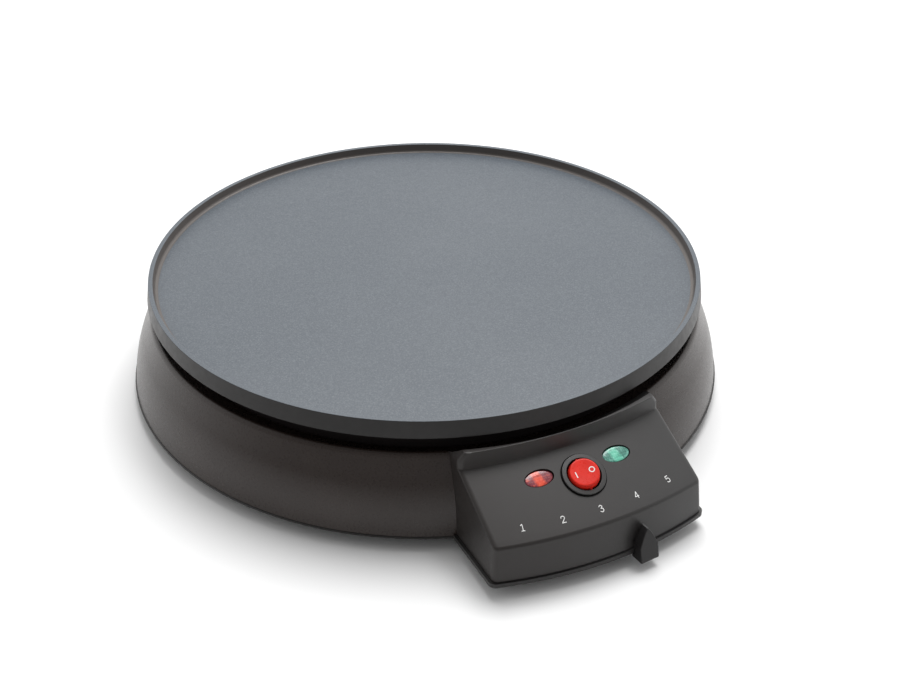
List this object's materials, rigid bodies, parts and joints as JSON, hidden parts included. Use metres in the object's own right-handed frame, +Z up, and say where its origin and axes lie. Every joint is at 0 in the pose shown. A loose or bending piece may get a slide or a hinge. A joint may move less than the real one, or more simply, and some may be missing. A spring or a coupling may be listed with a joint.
{
  "type": "electric griddle",
  "caption": "Round electric griddle: rimmed cast plate over a conical base, front housing with pilot lamps, round rocker switch and a sliding heat lever.",
  "frame": {"origin": "middle of the whole footprint, on the table under the feet", "axes": "+Z up; -Y is the front, where the control housing and the heat lever are; the housing is symmetric about X = 0; the plate's axis stands at X = 0, Y = 21.15 mm"},
  "size_m": [0.3384, 0.3824, 0.068],
  "materials": {
    "nonstick_plate": "satin non-stick coating with a fine speckle on cast aluminium",
    "element_sheath": "oxidised sheath",
    "terminal_brass": "plated brass",
    "zinc_steel": "zinc plated",
    "reflector_steel": "black heat-resistant paint",
    "ceramic_white": "unglazed steatite ceramic",
    "fibre": "vulcanised fibre",
    "shell_plastic": "satin moulded thermoset, nearly black",
    "housing_plastic": "fine spark-eroded texture",
    "cover_plastic": "satin moulded",
    "foot_rubber": "matte",
    "knob_plastic": "satin moulded",
    "switch_black": "semi-gloss nylon",
    "rocker_red": "gloss, with white marks",
    "lens_red": "translucent ribbed lens",
    "lens_green": "translucent ribbed lens",
    "lamp_glass": "neon lamp glass",
    "holder_white": "natural nylon",
    "fuse_white": "fuse body",
    "gland_black": "moulded nylon",
    "wire_brown": "silicone insulated wire",
    "wire_blue": "silicone insulated wire",
    "wire_green": "silicone insulated wire"
  },
  "bodies": {
    "base": {"cooking_plate": "nonstick_plate", "heating_element": "element_sheath", "element_terminals": "terminal_brass", "element_clips": "zinc_steel", "clip_screws": "zinc_steel", "heat_reflector": "reflector_steel", "plate_spacers": "ceramic_white", "plate_screws": "zinc_steel", "fibre_washers": "fibre", "base_shell": "shell_plastic", "control_housing": "housing_plastic", "bottom_cover": "cover_plastic", "rubber_feet": "foot_rubber", "foot_screws": "zinc_steel", "cover_screws": "zinc_steel", "thermostat_body": "ceramic_white", "thermostat_bracket": "zinc_steel", "bracket_screws": "zinc_steel", "thermostat_terminals": "terminal_brass", "switch_body": "switch_black", "switch_terminals": "terminal_brass", "red_lens": "lens_red", "green_lens": "lens_green", "neon_lamps": "lamp_glass", "lamp_holders": "holder_white", "terminal_block": "holder_white", "terminal_screws": "terminal_brass", "thermal_fuse": "fuse_white", "fuse_clip": "zinc_steel", "cord_gland": "gland_black", "gland_nut": "gland_black", "live_wire": "wire_brown", "neutral_wire": "wire_blue", "earth_wire": "wire_green", "earth_tab": "terminal_brass"},
    "lever": {"lever_shaft": "zinc_steel", "lever_arm": "zinc_steel", "lever_nut": "zinc_steel", "lever_knob": "knob_plastic"},
    "rocker": {"rocker_button": "rocker_red"}
  },
  "joints": [
    {"name": "heat_lever", "type": "hinge", "parent": "base", "child": "lever", "pos_m": [0, 0.02115, 0.013], "axis": [0, 0, 1], "range_deg": [-18.1, 7.9]},
    {"name": "power_rocker", "type": "hinge", "parent": "base", "child": "rocker", "pos_m": [0, -0.15635, 0.03896], "axis": [0, 0.9052, 0.4249], "range_deg": [0, 18]}
  ]
}
